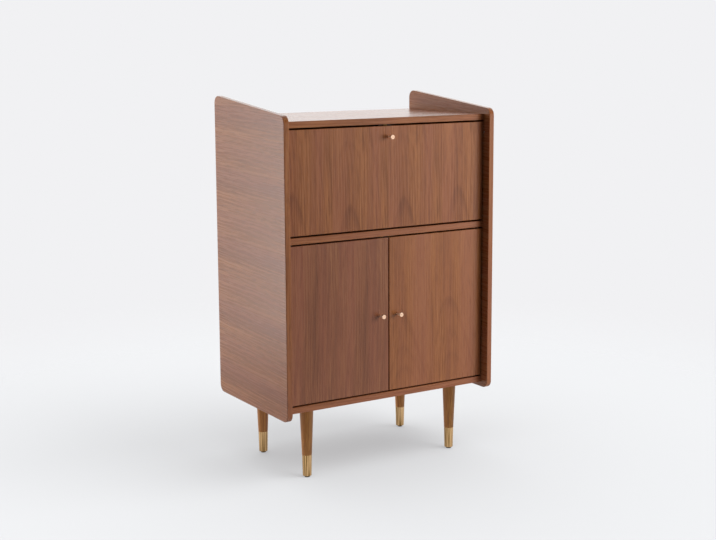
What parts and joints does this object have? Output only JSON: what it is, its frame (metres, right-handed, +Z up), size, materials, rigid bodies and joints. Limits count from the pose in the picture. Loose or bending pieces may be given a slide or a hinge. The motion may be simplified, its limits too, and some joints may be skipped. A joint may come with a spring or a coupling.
{
  "type": "bar cabinet",
  "caption": "Upright bar cabinet on turned legs: a drop-down flap shelf over a two-door cupboard, between side panels that rise above the top.",
  "frame": {"origin": "on the floor, under the middle of the cabinet", "axes": "+Z up, the front with the flap and doors faces -Y, +X to the right as seen from the front"},
  "size_m": [0.7, 0.42, 1.0721],
  "materials": {
    "backing": "brown painted hardboard",
    "brass": "satin brushed brass",
    "dowel_wood": "plain turned beech",
    "glide": "dark moulded plastic",
    "housing": "brown moulded plastic",
    "leg_wood": "stained and lacquered solid beech",
    "steel": "bright plated steel",
    "walnut": "satin lacquered walnut veneer",
    "zinc": "plain zinc casting"
  },
  "bodies": {
    "carcass": {"back_panel": "backing", "back_panel_screws": "steel", "bottom_panel": "walnut", "cam_bolts": "steel", "cam_locks": "zinc", "catch_screws": "steel", "door_catch_housing": "housing", "door_catch_magnet": "steel", "door_pivot_bushes": "housing", "dowels": "dowel_wood", "ferrule_front_left": "brass", "ferrule_front_right": "brass", "ferrule_rear_left": "brass", "ferrule_rear_right": "brass", "flap_catch_housing": "housing", "flap_catch_magnet": "steel", "flap_pivot_bushes": "housing", "glide_front_left": "glide", "glide_front_right": "glide", "glide_rear_left": "glide", "glide_rear_right": "glide", "inner_shelf": "walnut", "leg_bolts": "steel", "leg_front_left": "leg_wood", "leg_front_right": "leg_wood", "leg_inserts": "steel", "leg_rear_left": "leg_wood", "leg_rear_right": "leg_wood", "middle_panel": "walnut", "shelf_pins": "steel", "side_panel_left": "walnut", "side_panel_right": "walnut", "side_studs": "steel", "stay_studs": "steel", "top_panel": "walnut"},
    "flap": {"flap_panel": "walnut", "flap_knob": "brass", "flap_knob_screw": "steel", "flap_strike": "steel", "flap_pivot_pins": "steel", "flap_stay_brackets": "steel", "flap_bracket_screws": "steel", "flap_stay_rivets": "steel"},
    "stay_arm_left": {"stay_arm_left": "steel"},
    "stay_arm_right": {"stay_arm_right": "steel"},
    "door_left": {"door_left_panel": "walnut", "door_left_knob": "brass", "door_left_knob_screw": "steel", "door_left_strike": "steel", "door_left_pivot_pins": "steel"},
    "door_right": {"door_right_panel": "walnut", "door_right_knob": "brass", "door_right_knob_screw": "steel", "door_right_strike": "steel", "door_right_pivot_pins": "steel"}
  },
  "joints": [
    {"name": "flap_hinge", "type": "hinge", "parent": "carcass", "child": "flap", "pos_m": [0, -0.173, 0.7111], "axis": [1, 0, 0], "range_deg": [0, 90]},
    {"name": "left_door_hinge", "type": "hinge", "parent": "carcass", "child": "door_left", "pos_m": [-0.3155, -0.173, 0.2235], "axis": [0, 0, -1], "range_deg": [0, 100]},
    {"name": "right_door_hinge", "type": "hinge", "parent": "carcass", "child": "door_right", "pos_m": [0.3155, -0.173, 0.2235], "axis": [0, 0, 1], "range_deg": [0, 100]},
    {"name": "left_stay_hinge", "type": "hinge", "parent": "flap", "child": "stay_arm_left", "pos_m": [-0.3335, -0.152, 0.8711], "axis": [1, 0, 0], "range_deg": [-45, 0]},
    {"name": "right_stay_hinge", "type": "hinge", "parent": "flap", "child": "stay_arm_right", "pos_m": [0.3335, -0.152, 0.8711], "axis": [1, 0, 0], "range_deg": [-45, 0]}
  ],
  "couplings": [
    {"joint": "left_stay_hinge", "follows": "flap_hinge", "ratio": -0.5},
    {"joint": "right_stay_hinge", "follows": "flap_hinge", "ratio": -0.5}
  ]
}
